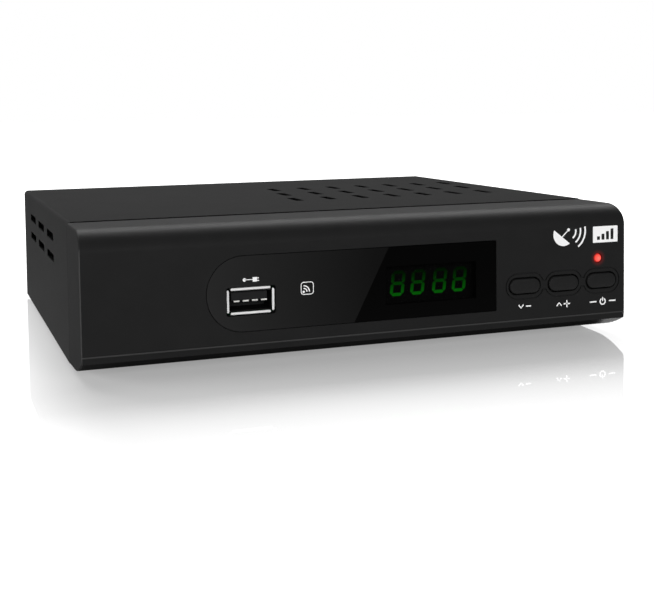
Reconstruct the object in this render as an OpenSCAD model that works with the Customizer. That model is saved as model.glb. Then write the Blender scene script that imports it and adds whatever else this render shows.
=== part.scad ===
// Satellite television receiver: a low steel box with a moulded front panel.
// X runs to the right, the front faces -Y and Z runs up. The origin lies on
// the surface that the feet rest on, under the middle of the part's box.

/* [Case] */
// Width of the case
body_w = 170; // [160:1:190]
// Depth of the case from the front panel to the back of the cover
body_d = 156; // [150:1:190]
// Height of the case with its feet
body_h = 42; // [41:0.5:52]
// Height that the feet lift the case
foot_lift = 1.2; // [0.8:0.1:4]
// Thickness of the steel sheet
sheet_t = 0.8; // [0.6:0.1:1]
// Radius of the bends along the top edges
bend_r = 1.5; // [1.3:0.1:3]
// Play between sheets that slide into each other
sheet_gap = 0.15; // [0.1:0.05:0.25]

/* [Front panel] */
// Depth of the front panel as far as the seam with the cover
panel_d = 24.7; // [24:0.1:30]
// Wall of the front panel
panel_t = 2.5; // [2.2:0.1:2.8]
// Radius that rounds the panel's top into its face
brow_r = 6.5; // [4:0.5:7]
// Length of the rim that reaches back under the cover
rim_l = 4; // [2:0.5:5]
// Height of the crease where the flat face ends, above the case's underside
crease_z = 6.8; // [6:0.1:8]
// Height of the chin's lower crease above the case's underside
chin_z = 4.7; // [4.2:0.1:5.5]
// Depth at which the chin's undercut ends
chin_d = 13.3; // [10:0.1:14]
// How far the chin's undercut bulges
chin_bulge = 0.7; // [0.3:0.1:1]

/* [Lens] */
// Height of the lens
lens_h = 21.3; // [20:0.1:22]
// Length of the lens
lens_l = 89.8; // [86:0.1:94]
// Distance of the lens's square end from the panel's right end
lens_margin = 45.8; // [45:0.1:48]
// Thickness of the lens
lens_t = 1.5; // [1:0.1:1.7]
// Play round the lens
lens_gap = 0.15; // [0.1:0.05:0.3]

/* [Buttons] */
// Width of a button's opening
key_w = 11.2; // [10:0.1:11.8]
// Height of a button's opening
key_h = 5.3; // [5:0.1:6]
// Gap round a button
key_gap = 0.3; // [0.25:0.05:0.4]
// Spacing of the buttons
key_pitch = 13.6; // [13:0.1:13.8]
// Distance of the right-hand button from the panel's right end
key_margin = 8.7; // [8.5:0.1:9.2]
// How far the buttons lie below the lens's middle line
key_drop = 3.8; // [3:0.1:4.5]
// How far a button stands out of the panel
key_proud = 0.5; // [0.45:0.05:1]
// How far a button can be pressed
key_travel = 0.4; // [0.25:0.05:0.45]
// Margin between a button's opening and the groove round it
groove_margin = 1.1; // [0.9:0.05:1.2]
// Width of the groove
groove_w = 0.3; // [0.2:0.05:0.4]
// Depth of the groove
groove_d = 0.3; // [0.2:0.05:0.5]
// Height of the necks that join the groove's three loops
neck_h = 3.1; // [2.5:0.1:4]

/* [Front board parts] */
// Depth at which the front board lies behind the panel's face
front_board_d = 10.5; // [10.3:0.1:11]
// Thickness of both circuit boards
board_t = 1.6; // [1.2:0.1:2]
// Height of a display digit
digit_h = 7.5; // [6:0.1:9]
// Width of a display digit
digit_w = 4.4; // [4:0.1:5]
// Thickness of a display segment
segment_t = 0.9; // [0.6:0.05:1]
// Lean of the digits in degrees
digit_lean = 7; // [0:1:10]
// Diameter of the power light
led_d = 3; // [2.6:0.1:3.2]
// Width of the port's metal mouth
usb_w = 14; // [13.6:0.1:14.2]
// Height of the port's metal mouth
usb_h = 7.7; // [7.2:0.1:8]
// Width of the port's metal tube
usb_tube_w = 13.1; // [13:0.1:13.3]
// Height of the port's metal tube
usb_tube_h = 5.9; // [5.7:0.1:6.4]
// Thickness of the port's metal
usb_t = 0.35; // [0.3:0.05:0.4]
// Side of a switch housing
switch_s = 6; // [5:0.1:6.5]
// Diameter of a switch's stem
stem_d = 3.5; // [3:0.1:3.8]
// Radial play of a stem in its housing
stem_gap = 0.06; // [0.03:0.01:0.1]

/* [Main board parts] */
// Height of the main board's underside above the tray
standoff_h = 4; // [3:0.5:5]
// Diameter of the aerial connectors' thread
aerial_d = 9.4; // [9:0.1:10]
// How far the aerial connectors stand out behind the cover
port_reach = 9.5; // [8:0.5:12]
// Diameter of a phono jack's barrel
phono_d = 8.3; // [8:0.1:9]
// Spacing of the phono jacks
phono_pitch = 14; // [13:0.5:14]
// Diameter of the power inlet's hole
inlet_d = 6.3; // [5.5:0.1:6.5]
// Height of the heat sink
sink_h = 10; // [5:0.5:14]

/* [Vents] */
// Length of a slot in the cover's top
vent_l = 11.5; // [8:0.5:18]
// Width of a slot in the cover's top
vent_w = 2.8; // [1:0.1:3]
// Spacing of the slots across the cover
vent_pitch_x = 12; // [10:0.5:12]
// Spacing of the slots along the cover
vent_pitch_y = 22; // [20:0.5:24]
// Depth of the first row's middle behind the panel's face
vent_d = 66; // [45:0.5:75]
// How far each row of slots lies to the left of the row behind it
vent_shift = 3; // [0:0.5:4]
// Length of a side slot
side_vent_l = 18; // [10:0.5:20]
// Height of a side slot
side_vent_h = 2.4; // [1.5:0.1:3]
// Depth of the first side column's middle behind the panel's face
side_vent_d = 68; // [45:0.5:72]
// Spacing of the side slots along the cover
side_pitch_y = 27.2; // [22:0.2:28]
// Spacing of the side slots' two rows
side_pitch_z = 6.6; // [4:0.1:8]
// Depth of the upper row of side slots below the top
side_vent_drop = 8.2; // [6:0.1:12]

/* [Hidden] */
$fn = 48;
// Overlap that lets a cut pass clean through a face
cut = 1;

// The case: the face of the panel, the seam and the sheets behind it
front_y = -(body_d + port_reach - key_proud) / 2;
seam_y = front_y + panel_d;
rear_y = front_y + body_d;
wall_y = rear_y - 2 * sheet_t;
half_w = body_w / 2;
tray_w = body_w - 2 * (sheet_t + sheet_gap);
tray_top = foot_lift + sheet_t;
floor_z = foot_lift + panel_t;
roof_z = body_h - sheet_t;
bend_in = bend_r - sheet_t;

// The tray's tongue, which lies on the panel's floor
tongue_l = 10;
tongue_margin = 3;
tongue_w = body_w - 2 * (panel_t + tongue_margin);
panel_screw_x = [-half_w + 25, half_w - 25];
screw_y = seam_y - tongue_l / 2;
screw_floor = 1;
flange_h = 8;
lip_h = 7;
lip_margin = 5;
cover_screw_x = [-half_w + 13, 0, half_w - 13];
cover_screw_z = roof_z - (lip_h - sheet_t) / 2;
lip_w = body_w - 2 * lip_margin;

// The panel's flat face lies between its crease and its brow, and the lens on its middle
face_low = foot_lift + crease_z;
face_high = body_h - brow_r;
lens_z = (face_low + face_high) / 2 + 0.35;
lens_right = half_w - lens_margin;
lens_left = lens_right - lens_l;

// The boards
board_y = front_y + front_board_d;
board_back = board_y + board_t;
board_left = lens_left - 10.4;
board_right = half_w - panel_t - 1;
board_low = face_low + 0.8;
board_high = face_high + 0.7;
boss_d = 5;
boss_inset = 5;
boss_places = [
    [board_left + boss_inset, board_high - boss_inset],
    [board_left + boss_inset, board_low + boss_inset],
    [lens_right + 6.8, board_high - boss_inset],
    [lens_right + 27.8, board_high - boss_inset]
];
screw_d = 2.6;
screw_l = 5;
head_d = 5;
head_h = 1.6;
pilot_d = screw_d - 0.2;
hole_d = screw_d + 0.4;
main_z = tray_top + standoff_h;
main_top = main_z + board_t;
main_margin = 9;
main_w = body_w - 2 * main_margin;
main_front = seam_y + 19;
main_rear = wall_y - 1;
standoff_d = 6;
standoff_inset = 5;
port_zone = 39;
standoff_places = [
    for (x = [-1, 1], y = [main_front + standoff_inset, main_rear - port_zone])
        [x * (main_w / 2 - standoff_inset), y]
];

// The buttons and their switches
key_z = lens_z - key_drop;
key_x = half_w - key_margin;
key_places = [key_x - 2 * key_pitch, key_x - key_pitch, key_x];
key_rim = 0.3;
key_rim_h = 1;
key_rim_t = 1.2;
key_foot_d = stem_d + 1;
key_back_y = front_y + panel_t + 0.3;
switch_h = 3.4;
switch_y = board_y - switch_h;
stem_y = switch_y - 1.7;
stem_end = switch_y + 1.5;

// What lies behind the lens
digit_step = digit_w + 2.15;
digit_split = 0.6;
segment_rise = 0.15;
digits_z = lens_z - 0.7;
display_x = lens_right - 20.9;
display_w = 4 * digit_step + 4.8;
display_h = digit_h + 4.5;
display_y = front_y + panel_t + 0.8;
window_gap = 0.3;
ir_x = lens_right - 60.4;
ir_z = lens_z + 0.3;
ir_w = 6;
ir_h = 7;
ir_t = 4.4;
ir_window_d = 4.6;
usb_x = lens_left + 12.8;
usb_z = lens_z - 2.1;
usb_y = front_y + 0.3;
usb_gap = 0.2;
usb_corner = 0.65;
flare_l = 1.5;
tongue_usb_w = 10.4;
tongue_usb_t = 2.3;
tongue_back_l = 2.2;
contact_w = 1.6;
contact_t = 0.2;
contact_x = [-4, -1.35, 1.35, 4];
led_x = key_x - 1.1;
led_z = lens_z + 3.3;
led_l = 3.8;
led_proud = 0.4;
led_rim = 0.4;
led_rim_t = 1;
leg_t = 0.5;
leg_x = 1.02;
controller = [10, 1.8, 8];

// The ribbon and its two sockets
link_x = lens_right - 45.2;
link_w = 22;
link_t = 0.6;
link_socket_w = link_w + 4;
link_socket_h = 5;
link_socket_t = 4;
link_z = board_low + 13.7;

// The rear ports
aerial_x = [-half_w + 23, -half_w + 43];
aerial_z = main_top + 7;
barrel_d = aerial_d + 0.4;
socket_d = 6;
socket_l = 6;
can_y = wall_y - 0.3;
washer_t = 0.8;
nut_y = wall_y + sheet_t + washer_t;
nut_h = 2;
can_margin = 10;
can_l = 33.7;
can_h = 13;
insulator_gap = 0.4;
pin_hole_d = 1.2;
hdmi_x = aerial_x[1] + 28;
hdmi_w = 15;
hdmi_h = 6;
hdmi_l = 12;
hdmi_t = 0.5;
phono_x = half_w - 57;
phono_z = main_top + 6.5;
phono_l = 8.8;
phono_t = 0.5;
phono_hole_d = 3.4;
phono_block_l = 10.7;
phono_block_h = phono_z - main_top + 6;
inlet_x = half_w - 19;
inlet_z = main_top + 5.5;
inlet_w = inlet_d + 2.7;
inlet_l = 14.6;
inlet_pin_d = 2;
inlet_pin_l = 9;
port_gap = 0.3;

// What stands on the main board
sink_x = 6;
sink_y = main_front + 48;
sink_w = 26;
sink_base = 2;
fin_t = 1.2;
fins = 8;
chip_w = 21;
chip_h = 1.6;
capacitor_d = 8;
capacitor_h = 11;
capacitor_step = 10;
capacitor_x = main_w / 2 - 32;
inductor_w = 10;
inductor_h = 5;
inductor_step = 16;
inductor_x = main_w / 2 - 34;
foot_d = 12;
foot_inset = 17;
vent_margin = 9.5;
vent_corner = 0.6;

// Extrudes an outline drawn in X and Z from y backwards over a length
module along_y(y, length) {
    translate([0, y + length, 0]) rotate([90, 0, 0]) linear_extrude(length) children();
}

// Extrudes an outline drawn in Y and Z across a width, about X = 0
module along_x(width) {
    translate([-width / 2, 0, 0]) rotate([90, 0, 90]) linear_extrude(width) children();
}

// A box from one corner to the opposite one
module block(low, high) {
    translate(low) cube(high - low);
}

// A rectangle with round corners, about the origin
module rounded(w, h, r) {
    square([w - 2 * r, h], center = true);
    square([w, h - 2 * r], center = true);
    for (x = [-1, 1], y = [-1, 1]) translate([x * (w / 2 - r), y * (h / 2 - r)]) circle(r);
}

// An oblong with half-round ends, about the origin
module oblong(w, h) {
    square([w - h, h], center = true);
    for (x = [-1, 1]) translate([x * (w - h) / 2, 0]) circle(h / 2);
}

// The case seen from the front, drawn in by a margin: square below, bent above
module case_outline(margin, r, low = foot_lift) {
    w = body_w - 2 * margin;
    top = body_h - margin;
    translate([-w / 2, low]) square([w, top - r - low]);
    translate([-w / 2 + r, low]) square([w - 2 * r, top - low]);
    for (x = [-1, 1]) translate([x * (w / 2 - r), top - r]) circle(r);
}

// The chin's undercut: an arc from the lower crease back to the underside
function chin_curve(steps = 6) = [
    for (i = [0:steps]) let (u = i / steps)
        [chin_d * u, chin_z + (0.5 - chin_z) * u - 4 * chin_bulge * u * (1 - u)]
];

// The panel seen from the side, with its face at 0 and the seam at panel_d
module panel_profile() {
    brow = body_h - foot_lift - brow_r;
    polygon(concat(
        [[panel_d, 0], [panel_d, brow + brow_r], [brow_r, brow + brow_r],
         [brow_r, brow], [0, brow], [0, crease_z]],
        [for (p = chin_curve()) [p[0] + 0.3, p[1]]]
    ));
    translate([brow_r, brow]) circle(brow_r);
}

// The hollow behind the panel's wall, open at the back
module panel_hollow_profile() {
    brow = body_h - foot_lift - brow_r;
    polygon([
        [panel_t, chin_z + panel_t], [panel_t, brow], [brow_r, brow],
        [brow_r, brow + brow_r - panel_t], [panel_d + cut, brow + brow_r - panel_t],
        [panel_d + cut, panel_t], [chin_d, panel_t]
    ]);
    translate([brow_r, brow]) circle(brow_r - panel_t);
}

// Outline of the lens, or of its seat with a gap added: round left, square right
module lens_outline(gap = 0) {
    r = lens_h / 2 + gap;
    x = lens_left + lens_h / 2;
    translate([x, lens_z]) circle(r);
    translate([x, lens_z - r]) square([lens_right + gap - x, 2 * r]);
}

// The three loops round the buttons and the necks between them
module groove_outline(shrink) {
    w = key_w + 2 * groove_margin - 2 * shrink;
    h = key_h + 2.6 * groove_margin - 2 * shrink;
    for (x = key_places) translate([x, key_z]) oblong(w, h);
    translate([key_places[0], key_z - neck_h / 2 + shrink])
        square([2 * key_pitch, neck_h - 2 * shrink]);
}

module front_panel() {
    color("#222222") difference() {
        union() {
            difference() {
                intersection() {
                    translate([0, front_y, foot_lift]) along_x(body_w) panel_profile();
                    along_y(front_y, panel_d) case_outline(0, bend_r);
                }
                translate([0, front_y, foot_lift])
                    along_x(body_w - 2 * panel_t) panel_hollow_profile();
            }
            panel_rim();
            for (p = boss_places) translate([p[0], 0, p[1]])
                along_y(front_y + panel_t - 0.1, front_board_d - panel_t + 0.1)
                    circle(d = boss_d);
        }
        along_y(front_y - cut, cut + lens_t) lens_outline(lens_gap);
        for (x = key_places) translate([x, 0, key_z])
            along_y(front_y - cut, panel_t + 2 * cut) oblong(key_w, key_h);
        along_y(front_y - cut, cut + groove_d) difference() {
            groove_outline(0);
            groove_outline(groove_w);
        }
        translate([led_x, 0, led_z])
            along_y(front_y - cut, panel_t + 2 * cut) circle(d = led_d + 0.2);
        translate([usb_x, 0, usb_z]) along_y(front_y, panel_t + cut) usb_hole();
        translate([display_x, 0, digits_z]) along_y(front_y, panel_t + cut)
            square([display_w + 2 * window_gap, display_h + 2 * window_gap], true);
        translate([ir_x, 0, ir_z]) along_y(front_y, panel_t + cut) circle(d = ir_w);
        for (p = boss_places) translate([p[0], 0, p[1]])
            along_y(board_y - screw_l - 1, screw_l + 1 + cut) circle(d = pilot_d);
        for (x = panel_screw_x) translate([x, screw_y, foot_lift + screw_floor - 0.2])
            cylinder(d = pilot_d, h = panel_t);
    }
}

// The rim that reaches back under the cover, above the tray's tongue
module panel_rim() {
    gap = sheet_t + sheet_gap;
    along_y(seam_y - 0.1, rim_l + 0.1) difference() {
        case_outline(gap, bend_in, floor_z + 2.5);
        translate([-half_w + panel_t, 0])
            square([body_w - 2 * panel_t, body_h - panel_t]);
    }
}

// The hole that the port's mouth looks out of
module usb_hole() {
    rounded(usb_w + 2 * usb_gap, usb_h + 2 * usb_gap, usb_corner);
}

module display_lens() {
    color("#141414") difference() {
        along_y(front_y, lens_t) lens_outline();
        translate([usb_x, 0, usb_z]) along_y(front_y - cut, lens_t + 2 * cut) usb_hole();
    }
}

// A button: its cap, the rim that holds it behind the panel and its foot
module button(x) {
    color("#232323") translate([x, 0, key_z]) {
        along_y(front_y - key_proud, key_proud + panel_t + 0.4)
            oblong(key_w - 2 * key_gap, key_h - 2 * key_gap);
        along_y(key_back_y, key_rim_t) oblong(key_w + 2 * key_rim, key_h + 2 * key_rim_h);
        along_y(key_back_y, stem_y - key_back_y) circle(d = key_foot_d);
    }
}
module channel_down_button() { button(key_places[0]); }
module channel_up_button() { button(key_places[1]); }
module power_button() { button(key_places[2]); }

// The stem that a button pushes into its switch
module switch_stem(x) {
    color("#1a1a1a") translate([x, 0, key_z])
        along_y(stem_y, stem_end - stem_y) circle(d = stem_d);
}
module channel_down_stem() { switch_stem(key_places[0]); }
module channel_up_stem() { switch_stem(key_places[1]); }
module power_stem() { switch_stem(key_places[2]); }

// A switch housing with the bore that its stem runs in
module switch_housing(x) {
    color("#9a9a9a") translate([x, 0, key_z]) difference() {
        along_y(switch_y, switch_h) square(switch_s, center = true);
        along_y(switch_y - cut, cut + stem_end - switch_y + key_travel + 0.3)
            circle(d = stem_d + 2 * stem_gap);
    }
}
module channel_down_switch() { switch_housing(key_places[0]); }
module channel_up_switch() { switch_housing(key_places[1]); }
module power_switch() { switch_housing(key_places[2]); }

module front_board() {
    color("#1f5a34") difference() {
        block([board_left, board_y, board_low], [board_right, board_back, board_high]);
        for (p = boss_places) translate([p[0], 0, p[1]])
            along_y(board_y - cut, board_t + 2 * cut) circle(d = hole_d);
    }
}

module front_controller() {
    color("#1b1b1b") translate([lens_right - 7.2, board_back, lens_z - 6]) cube(controller);
}

module front_board_screws() {
    color("#b5b5b5") for (p = boss_places) translate([p[0], 0, p[1]]) {
        along_y(board_back, head_h) circle(d = head_d);
        along_y(board_y - screw_l, screw_l + board_t) circle(d = pilot_d);
    }
}

// The display block, which rests on the front board
module display_module() {
    color("#101010") translate([display_x - display_w / 2, display_y, digits_z - display_h / 2])
        cube([display_w, board_y - display_y, display_h]);
}

// A point of a leaning digit
function lean(p) = [p[0] + p[1] * tan(digit_lean), p[1]];

// A segment with pointed ends, flat or upright, about a point of a digit
module segment(x, z, length, upright) {
    t = segment_t / 2;
    l = length / 2;
    flat = [[-l, 0], [-l + t, t], [l - t, t], [l, 0], [l - t, -t], [-l + t, -t]];
    polygon([for (p = flat) lean(upright ? [x - p[1], z + p[0]] : [x + p[0], z + p[1]])]);
}

// One digit with all seven segments, about its middle
module digit() {
    w = digit_w - segment_t;
    h = (digit_h - segment_t) / 2;
    for (z = [-h, 0, h]) segment(0, z, w - 0.25, false);
    for (x = [-w / 2, w / 2], z = [-h / 2, h / 2]) segment(x, z, h - 0.25, true);
}

module display_segments() {
    color("#0a6a0a") for (i = [-1.5, -0.5, 0.5, 1.5])
        translate([display_x + i * digit_step + sign(i) * digit_split / 2, 0, digits_z])
            along_y(display_y - segment_rise, segment_rise) digit();
}

// The light: a domed body on two legs
module power_led() {
    dome_y = front_y - led_proud + led_d / 2;
    led_back = dome_y + led_l;
    color("#ff3b30") translate([led_x, 0, led_z]) {
        translate([0, dome_y, 0]) {
            intersection() {
                sphere(d = led_d);
                translate([-led_d, -led_d, -led_d]) cube([2 * led_d, led_d, 2 * led_d]);
            }
            rotate([-90, 0, 0]) cylinder(d = led_d, h = led_l);
        }
        along_y(led_back - led_rim_t, led_rim_t) circle(d = led_d + 2 * led_rim);
        for (x = [-leg_x, leg_x]) translate([x, 0, 0])
            along_y(led_back - 0.1, board_y - led_back + 0.1) square(leg_t, center = true);
    }
}

// The remote control's receiver: a small case with a round window in front
module infrared_receiver() {
    color("#2a1c1c") translate([ir_x, 0, ir_z]) {
        along_y(board_y - ir_t, ir_t) square([ir_w, ir_h], center = true);
        along_y(board_y - ir_t - 1.5, 1.6) circle(d = ir_window_d);
    }
}

// The port's tube and the four lips that flare out at its mouth
module usb_shell() {
    tube_y = usb_y + flare_l;
    color("#c9c9c9") translate([usb_x, 0, usb_z]) {
        along_y(tube_y, board_y - tube_y) difference() {
            square([usb_tube_w, usb_tube_h], center = true);
            square([usb_tube_w - 2 * usb_t, usb_tube_h - 2 * usb_t], center = true);
        }
        for (s = [-1, 1]) {
            translate([0, usb_y, 0]) along_x(usb_tube_w - 2 * usb_corner) polygon([
                [0, s * usb_h / 2], [0, s * (usb_h / 2 - usb_t)],
                [flare_l + 0.1, s * (usb_tube_h / 2 - usb_t)],
                [flare_l + 0.1, s * usb_tube_h / 2]
            ]);
            translate([0, usb_y, usb_corner - usb_h / 2])
                linear_extrude(usb_h - 2 * usb_corner) polygon([
                    [s * usb_w / 2, 0], [s * (usb_w / 2 - usb_t), 0],
                    [s * (usb_tube_w / 2 - usb_t), flare_l + 0.1],
                    [s * usb_tube_w / 2, flare_l + 0.1]
                ]);
        }
    }
}

module usb_tongue() {
    tip_y = usb_y + flare_l + 0.4;
    color("#3a3a3a") translate([usb_x, 0, usb_z]) {
        along_y(board_y - tongue_back_l, tongue_back_l)
            square([usb_tube_w - 2 * usb_t, usb_tube_h - 2 * usb_t], center = true);
        along_y(tip_y, board_y - tip_y)
            translate([-tongue_usb_w / 2, 0]) square([tongue_usb_w, tongue_usb_t]);
    }
}

module usb_contacts() {
    tip_y = usb_y + flare_l + 0.6;
    color("#d8c48a") for (x = contact_x) translate([usb_x + x, 0, usb_z])
        along_y(tip_y, board_y - tongue_back_l - tip_y)
            translate([-contact_w / 2, -contact_t]) square([contact_w, contact_t]);
}

// A socket on the back of the front board and one on the main board
module front_link_socket() {
    color("#e8e2cf") translate([link_x, board_back, link_z])
        translate([-link_socket_w / 2, 0, -link_socket_h / 2])
            cube([link_socket_w, link_socket_t, link_socket_h]);
}
module main_link_socket() {
    color("#e8e2cf") translate([link_x - link_socket_w / 2, main_front + 2, main_top])
        cube([link_socket_w, link_socket_h, link_socket_t]);
}

// The flat ribbon: straight back from one socket, then down into the other
module link_ribbon() {
    start = board_back + link_socket_t;
    end = main_front + 2 + link_socket_h / 2;
    low = main_top + link_socket_t;
    t = link_t / 2;
    color("#d9d9d9") translate([link_x, 0, 0]) along_x(link_w) polygon([
        [start, link_z + t], [end + t, link_z + t], [end + t, low],
        [end - t, low], [end - t, link_z - t], [start, link_z - t]
    ]);
}

// The screws that hold the tray's tongue to the panel's floor
module panel_screws() {
    color("#b5b5b5") for (x = panel_screw_x) translate([x, screw_y, 0]) {
        translate([0, 0, foot_lift + screw_floor])
            cylinder(d = pilot_d, h = panel_t + sheet_t - screw_floor);
        translate([0, 0, floor_z + sheet_t]) cylinder(d = head_d, h = head_h);
    }
}

// The tray: floor, raised tongue, side flanges and back wall from one sheet
module base_tray() {
    low = seam_y + sheet_gap;
    color("#8f9296") difference() {
        union() {
            block([-tray_w / 2, low, foot_lift], [tray_w / 2, wall_y + sheet_t, tray_top]);
            block([-tongue_w / 2, low, foot_lift], [tongue_w / 2, low + sheet_t, floor_z + sheet_t]);
            block([-tongue_w / 2, seam_y - tongue_l, floor_z],
                  [tongue_w / 2, low + sheet_t, floor_z + sheet_t]);
            for (x = [-tray_w / 2, tray_w / 2 - sheet_t])
                block([x, seam_y + rim_l + 3, foot_lift],
                      [x + sheet_t, wall_y + sheet_t, foot_lift + flange_h]);
            along_y(wall_y, sheet_t) case_outline(sheet_t + sheet_gap, bend_in);
        }
        for (x = panel_screw_x) translate([x, screw_y, 0])
            cylinder(d = hole_d, h = floor_z + 2 * sheet_t);
        for (p = standoff_places) translate([p[0], p[1], 0])
            cylinder(d = hole_d, h = tray_top + cut);
        along_y(wall_y - cut, sheet_t + 2 * cut) rear_holes();
    }
}

// The holes in the back wall, each its port's size and a little play
module rear_holes() {
    for (x = aerial_x) translate([x, aerial_z]) circle(d = barrel_d + port_gap);
    translate([hdmi_x, main_top + hdmi_h / 2])
        square([hdmi_w + 2 * port_gap, hdmi_h + 2 * port_gap], center = true);
    for (i = [-1:1]) translate([phono_x + i * phono_pitch, phono_z])
        circle(d = phono_d + port_gap);
    translate([inlet_x, (main_top + inlet_z + inlet_w / 2) / 2])
        square([inlet_w + 2 * port_gap, inlet_z + inlet_w / 2 - main_top + 2 * port_gap], true);
    for (x = cover_screw_x) translate([x, cover_screw_z]) circle(d = pilot_d);
}

module board_standoffs() {
    color("#b9a56a") for (p = standoff_places) translate([p[0], p[1], tray_top]) difference() {
        cylinder(d = standoff_d, h = standoff_h);
        translate([0, 0, -cut]) cylinder(d = pilot_d, h = standoff_h + 2 * cut);
    }
}

module rubber_feet() {
    color("#161616") for (x = [-1, 1], y = [seam_y + foot_inset, rear_y - foot_inset])
        translate([x * (half_w - foot_inset), y, 0]) cylinder(d = foot_d, h = foot_lift);
}

// The cover: one sheet bent down on both sides, with a lip over the back wall
module top_cover() {
    color("#3a3a3a") difference() {
        union() {
            along_y(seam_y, rear_y - seam_y) difference() {
                case_outline(0, bend_r);
                case_outline(sheet_t, bend_in, foot_lift - cut);
            }
            block([-lip_w / 2, rear_y - sheet_t, body_h - lip_h], [lip_w / 2, rear_y, roof_z + 0.1]);
        }
        top_vents();
        side_vents();
        for (x = cover_screw_x) translate([x, 0, cover_screw_z])
            along_y(rear_y - sheet_t - cut, sheet_t + 2 * cut) circle(d = hole_d);
    }
}

// Seven columns of three slots, set towards the right of the top
module top_vents() {
    for (i = [0:6], j = [0:2]) translate([
        half_w - vent_margin - i * vent_pitch_x - (2 - j) * vent_shift,
        front_y + vent_d + j * vent_pitch_y, roof_z - cut
    ]) linear_extrude(sheet_t + 2 * cut) rotate(90) rounded(vent_l, vent_w, vent_corner);
}

// Three columns of two slots in each side
module side_vents() {
    for (i = [0:2], j = [0:1])
        translate([0, front_y + side_vent_d + i * side_pitch_y,
                   body_h - side_vent_drop - j * side_pitch_z])
            along_x(body_w + 2 * cut) rounded(side_vent_l, side_vent_h, vent_corner);
}

module cover_screws() {
    color("#2b2b2b") for (x = cover_screw_x) translate([x, 0, cover_screw_z]) {
        along_y(rear_y, head_h) circle(d = head_d);
        along_y(rear_y - screw_l, screw_l) circle(d = pilot_d);
    }
}

module main_board() {
    color("#1f5a34") difference() {
        block([-main_w / 2, main_front, main_z], [main_w / 2, main_rear, main_top]);
        for (p = standoff_places) translate([p[0], p[1], main_z - cut])
            cylinder(d = hole_d, h = board_t + 2 * cut);
    }
}

module main_board_screws() {
    color("#b5b5b5") for (p = standoff_places) translate([p[0], p[1], 0]) {
        translate([0, 0, main_z - standoff_h + 1])
            cylinder(d = pilot_d, h = standoff_h - 1 + board_t);
        translate([0, 0, main_top]) cylinder(d = head_d, h = head_h);
    }
}

// The screening can of the tuner, with a flange for each connector
module tuner_can() {
    color("#c4c6c8") block([aerial_x[0] - can_margin, can_y - can_l, main_top],
                           [aerial_x[1] + can_margin, can_y, main_top + can_h]);
}

// A connector: a barrel through the wall, a thread behind it and a socket in its end
module aerial_connector(x) {
    color("#d6cfa8") translate([x, 0, aerial_z]) difference() {
        union() {
            along_y(can_y, nut_y + nut_h - can_y) circle(d = barrel_d);
            along_y(nut_y + nut_h, rear_y + port_reach - nut_y - nut_h) circle(d = aerial_d);
        }
        along_y(rear_y + port_reach - socket_l, socket_l + cut) circle(d = socket_d);
    }
}
module aerial_in_connector() { aerial_connector(aerial_x[0]); }
module loop_out_connector() { aerial_connector(aerial_x[1]); }

module aerial_insulators() {
    color("#f2f2ee") for (x = aerial_x) translate([x, 0, aerial_z]) difference() {
        along_y(rear_y + port_reach - socket_l, socket_l - insulator_gap) circle(d = socket_d);
        along_y(rear_y + port_reach - socket_l + 1, socket_l + cut) circle(d = pin_hole_d);
    }
}

module aerial_washers() {
    color("#cfd1d3") for (x = aerial_x) translate([x, 0, aerial_z])
        along_y(wall_y + sheet_t, washer_t) difference() {
            circle(d = barrel_d + 5);
            circle(d = barrel_d);
        }
}

module aerial_nuts() {
    color("#d6cfa8") for (x = aerial_x) translate([x, 0, aerial_z])
        along_y(nut_y, nut_h) difference() {
            circle(d = barrel_d + 3.4, $fn = 6);
            circle(d = barrel_d);
        }
}

module hdmi_shell() {
    w = hdmi_w / 2;
    t = hdmi_t;
    color("#c9c9c9") translate([hdmi_x, 0, main_top]) difference() {
        along_y(rear_y - hdmi_l, hdmi_l) translate([-w, 0]) square([hdmi_w, hdmi_h]);
        along_y(rear_y - hdmi_l + 1, hdmi_l) polygon([
            [t - w, hdmi_h / 2], [t - w, hdmi_h - t], [w - t, hdmi_h - t],
            [w - t, hdmi_h / 2], [w - 4 * t, t], [4 * t - w, t]
        ]);
    }
}

module hdmi_tongue() {
    color("#1b1b1b") translate([hdmi_x, 0, main_top])
        along_y(rear_y - hdmi_l + 1, hdmi_l - 2.5)
            translate([-hdmi_w / 3, hdmi_h / 2 - 0.4]) square([hdmi_w * 2 / 3, 1.4]);
}

// The block that carries the phono jacks, with a nose through the wall for each
module phono_block() {
    w = 3 * phono_pitch;
    color("#1d1d1d") {
        block([phono_x - w / 2, can_y - phono_block_l, main_top],
              [phono_x + w / 2, can_y, main_top + phono_block_h]);
        for (i = [-1:1]) translate([phono_x + i * phono_pitch, 0, phono_z])
            along_y(can_y - 0.1, wall_y + sheet_t - can_y + 0.1)
                circle(d = phono_d - 2 * phono_t);
    }
}

// A ring of a phono jack, drawn by its diameters, from the wall out over a length
module phono_ring(i, outer, inner, length) {
    translate([phono_x + i * phono_pitch, 0, phono_z])
        along_y(wall_y + sheet_t, length) difference() {
            circle(d = outer);
            circle(d = inner);
        }
}

// The coloured insert inside a phono jack's barrel
module phono_insert(i) {
    phono_ring(i, phono_d - 2 * phono_t, phono_hole_d, phono_l - 0.6);
}

module phono_barrels() {
    color("#cfcfcf") for (i = [-1:1]) phono_ring(i, phono_d, phono_d - 2 * phono_t, phono_l);
}
module video_insert() { color("#e3c21a") phono_insert(-1); }
module audio_left_insert() { color("#f0f0f0") phono_insert(0); }
module audio_right_insert() { color("#c62a22") phono_insert(1); }

module power_inlet() {
    color("#181818") difference() {
        block([inlet_x - inlet_w / 2, rear_y - inlet_l, main_top],
              [inlet_x + inlet_w / 2, rear_y, inlet_z + inlet_w / 2]);
        translate([inlet_x, 0, inlet_z])
            along_y(rear_y - inlet_pin_l - 1, inlet_pin_l + 1 + cut) circle(d = inlet_d);
    }
}

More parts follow.
